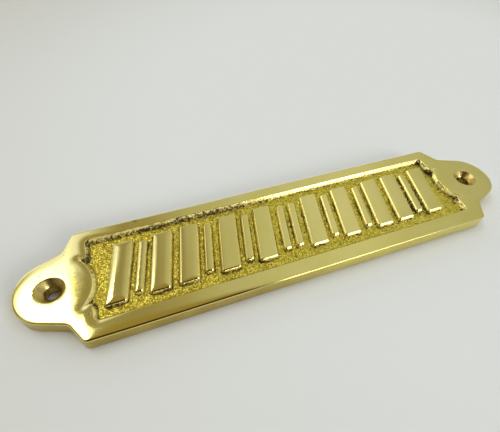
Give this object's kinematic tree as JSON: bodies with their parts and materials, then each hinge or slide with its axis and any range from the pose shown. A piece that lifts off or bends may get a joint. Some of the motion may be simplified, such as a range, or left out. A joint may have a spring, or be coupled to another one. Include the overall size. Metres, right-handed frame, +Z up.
{
  "type": "door sign",
  "caption": "Cast brass sign plate with a stippled sunk panel, a raised row of leaning strokes, and a countersunk screw hole in each rounded ear.",
  "frame": {"origin": "middle of the flat back face, where the sign lies on its door", "axes": "+X along the sign, +Z up the door, +Y out of the back face into the door; the front faces -Y"},
  "size_m": [0.2032, 0.006, 0.0446],
  "materials": {
    "brass": "polished rim, ears and stroke tops, stippled panel floor with brown grime in its corners, plain cast back"
  },
  "bodies": {
    "root": {"sign_plate": "brass"}
  },
  "joints": []
}
